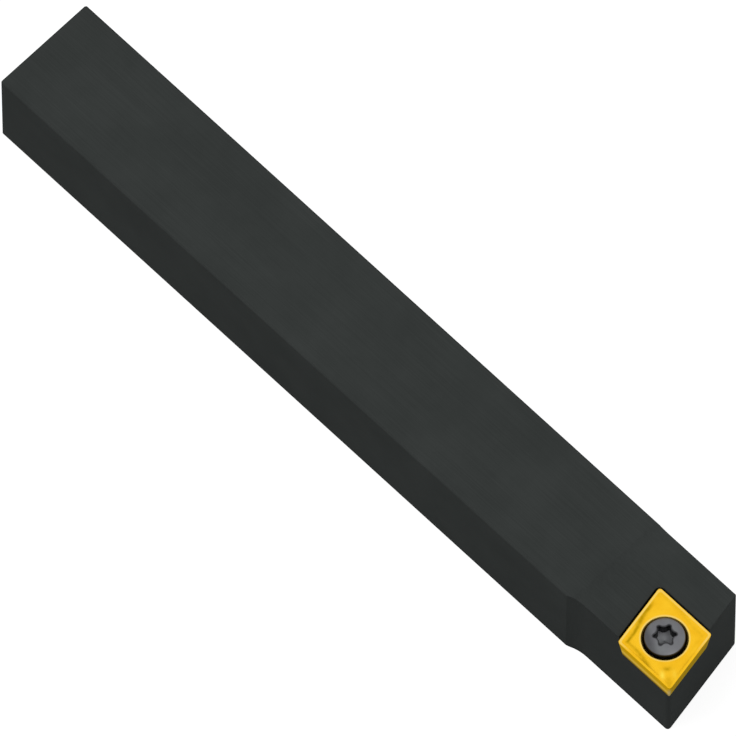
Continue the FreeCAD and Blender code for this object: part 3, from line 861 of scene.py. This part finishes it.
def threadTree(material):
    tree = bpy.data.node_groups.new("cut_thread", "GeometryNodeTree")
    tree.interface.new_socket("Geometry", in_out="INPUT", socket_type="NodeSocketGeometry")
    for name in threadInputs:
        tree.interface.new_socket(name, in_out="INPUT", socket_type="NodeSocketFloat")
    tree.interface.new_socket("Geometry", in_out="OUTPUT", socket_type="NodeSocketGeometry")
    entry = addNode(tree, "NodeGroupInput")
    place = addNode(tree, "GeometryNodeInputPosition")
    axes = addNode(tree, "ShaderNodeSeparateXYZ", links={0: place.outputs["Position"]})
    known = {name: entry.outputs[name] for name in threadInputs}
    known.update({name: axes.outputs[name] for name in ("X", "Y", "Z")})
    for name, operation, taken in threadSteps:
        numbers = {socket: item for socket, item in enumerate(taken) if item not in known}
        sources = {socket: known[item] for socket, item in enumerate(taken) if item in known}
        step = addNode(tree, "ShaderNodeMath",
                       {"operation": operation, "use_clamp": name in clampedSteps}, numbers, sources)
        known[name] = step.outputs[0]
    outward = addNode(tree, "ShaderNodeCombineXYZ", links={"X": known["off X"], "Y": known["off Y"]})
    unit = addNode(tree, "ShaderNodeVectorMath", {"operation": "NORMALIZE"},
                   links={0: outward.outputs["Vector"]})
    inward = addNode(tree, "ShaderNodeVectorMath", {"operation": "SCALE"},
                     links={0: unit.outputs["Vector"], "Scale": known["inward"]})
    moved = addNode(tree, "GeometryNodeSetPosition",
                    links={"Geometry": entry.outputs["Geometry"], "Offset": inward.outputs["Vector"]})
    real = addNode(tree, "GeometryNodeRealizeInstances", links={"Geometry": moved.outputs["Geometry"]})
    coated = addNode(tree, "GeometryNodeSetMaterial", values={"Material": material},
                     links={"Geometry": real.outputs["Geometry"]})
    addNode(tree, "NodeGroupOutput", links={"Geometry": coated.outputs["Geometry"]})
    return tree


def buildScrew():
    form = screwForm
    low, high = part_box("clamp_screw")
    centre = (low + high) / 2
    rings, dark, dishZ, coneFoot = screwRings()
    origin = Vector((centre.x, centre.y, low.z))
    placed = [[origin + Vector(point) * millimetre for point in ring] for ring in rings]
    points, faces = ringSkin(placed, origin + Vector((0, 0, dishZ * millimetre)), origin)
    blank = meshObject("screw_blank", points, [tuple(reversed(face)) for face in faces])
    blank.data.attributes.new("screwShade", "FLOAT", "POINT").data.foreach_set("value", dark)
    material = temperedScrewSteel()
    tree = threadTree(material)
    cutter = blank.modifiers.new("cut thread", "NODES")
    cutter.node_group = tree
    values = {
        "Pitch": form["pitch"] * millimetre,
        "Depth": form["threadDepth"] * millimetre,
        "Top": low.z + (coneFoot - form["neck"]) * millimetre,
        "Bottom": low.z + form["tipBevel"] * millimetre * form["threadEnd"],
        "Axis X": centre.x,
        "Axis Y": centre.y,
    }
    for item in tree.interface.items_tree:
        if item.name in values:
            cutter[item.identifier] = values[item.name]
    bpy.context.view_layer.update()
    evaluated = blank.evaluated_get(bpy.context.evaluated_depsgraph_get())
    mesh = bpy.data.meshes.new_from_object(evaluated)
    bpy.data.objects.remove(blank)
    screw = bpy.data.objects.new("threaded_clamp_screw", mesh)
    bpy.context.scene.collection.objects.link(screw)
    smoothByAngle(screw, form["smoothAngle"])
    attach(screw, "screw")
    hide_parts("clamp_screw")
    return screw


# Stage: a white floor that keeps the object's soft shadow, and a white surround
stageLook = {
    "floorSize": 3.0,        # metres
    "floorGap": 0.02,        # mm, keeps the floor from sharing a plane with the holder's underside
    "floorPaint": "#A8A8A8",
    "floorGlow": 0.9,        # keeps the lit floor white
    "floorShade": "#7C7C7C",
    "skyForObject": 0.44,
    "skySeen": 1.0,
}


# 1 for rays that see the white background: from the camera, a gloss or a glass
def seenRay(tree):
    ray = addNode(tree, "ShaderNodeLightPath")
    either = addNode(tree, "ShaderNodeMath", {"operation": "MAXIMUM"},
                     links={0: ray.outputs["Is Camera Ray"], 1: ray.outputs["Is Glossy Ray"]})
    seen = addNode(tree, "ShaderNodeMath", {"operation": "MAXIMUM"},
                   links={0: either.outputs[0], 1: ray.outputs["Is Transmission Ray"]})
    return seen.outputs[0]


def buildFloor():
    size = stageLook["floorSize"] / 2
    level = -stageLook["floorGap"] * millimetre
    corners = [(-size, -size, level), (size, -size, level), (size, size, level), (-size, size, level)]
    floor = meshObject("floor", corners, [(0, 1, 2, 3)])
    material, tree = newMaterial("matt_white_floor_paint")
    paint = addNode(tree, "ShaderNodeBsdfDiffuse",
                    values={"Color": linearColour(stageLook["floorPaint"])})
    glow = addNode(tree, "ShaderNodeEmission", values={"Strength": stageLook["floorGlow"]})
    shaded = addNode(tree, "ShaderNodeBsdfDiffuse",
                     values={"Color": linearColour(stageLook["floorShade"])})
    white = addNode(tree, "ShaderNodeAddShader", links={0: glow.outputs[0], 1: shaded.outputs[0]})
    mixed = addNode(tree, "ShaderNodeMixShader",
                    links={"Fac": seenRay(tree), 1: paint.outputs[0], 2: white.outputs[0]})
    addNode(tree, "ShaderNodeOutputMaterial", links={"Surface": mixed.outputs[0]})
    floor.data.materials.append(material)


def buildWorld():
    world = bpy.data.worlds.new("white_surround")
    bpy.context.scene.world = world
    world.use_nodes = True
    tree = world.node_tree
    tree.nodes.clear()
    strength = addNode(tree, "ShaderNodeMapRange",
                       values={"To Min": stageLook["skyForObject"], "To Max": stageLook["skySeen"]},
                       links={"Value": seenRay(tree)})
    sky = addNode(tree, "ShaderNodeBackground", values={"Color": (1, 1, 1, 1)},
                  links={"Strength": strength.outputs["Result"]})
    addNode(tree, "ShaderNodeOutputWorld", links={"Surface": sky.outputs[0]})


# Soft lamps: (name, place in metres, side of the square in metres, power in watts, whether the metals
# mirror it), all aimed at the object
lampSettings = [
    ("key_softbox", (-0.45, -0.45, 1.70), 1.2, 19.0, False),
    ("front_fill_softbox", (1.20, -0.30, 0.80), 0.8, 2.0, True),
]


def buildLamps():
    for name, place, size, power, mirrored in lampSettings:
        data = bpy.data.lights.new(name, "AREA")
        data.size = size
        data.energy = power
        lamp = bpy.data.objects.new(name, data)
        bpy.context.scene.collection.objects.link(lamp)
        lamp.visible_glossy = mirrored
        lamp.location = place
        lamp.rotation_euler = (-Vector(place)).to_track_quat("-Z", "Y").to_euler()


# Camera: the photograph is a parallel view, so a very long lens stands far off
cameraView = {
    "azimuth": 45.0,         # degrees, from the -Y side towards +X
    "elevation": 65.13,
    "aim": (1.60, -3.13, 16.0),    # mm, the middle of the picture
    "frameWidth": 97.18,     # mm across the picture at that point
    "lens": 1500.0,
    "sensor": 36.0,
}


def buildCamera():
    view = cameraView
    turn, lift = math.radians(view["azimuth"]), math.radians(view["elevation"])
    back = Vector((math.sin(turn) * math.cos(lift), -math.cos(turn) * math.cos(lift), math.sin(lift)))
    distance = view["frameWidth"] * millimetre * view["lens"] / view["sensor"]
    data = bpy.data.cameras.new("long_lens")
    data.lens = view["lens"]
    data.sensor_width = view["sensor"]
    data.clip_end = distance * 3
    camera = bpy.data.objects.new("long_lens", data)
    bpy.context.scene.collection.objects.link(camera)
    camera.location = Vector(view["aim"]) * millimetre + back * distance
    camera.rotation_euler = back.to_track_quat("Z", "Y").to_euler()
    bpy.context.scene.camera = camera


buildHolder()
print("holder built")
buildInsert()
print("insert built")
buildScrew()
print("screw built")
buildFloor()
buildWorld()
buildLamps()
buildCamera()
bpy.context.scene.view_settings.view_transform = "Standard"
print("stage, lamps and camera set")
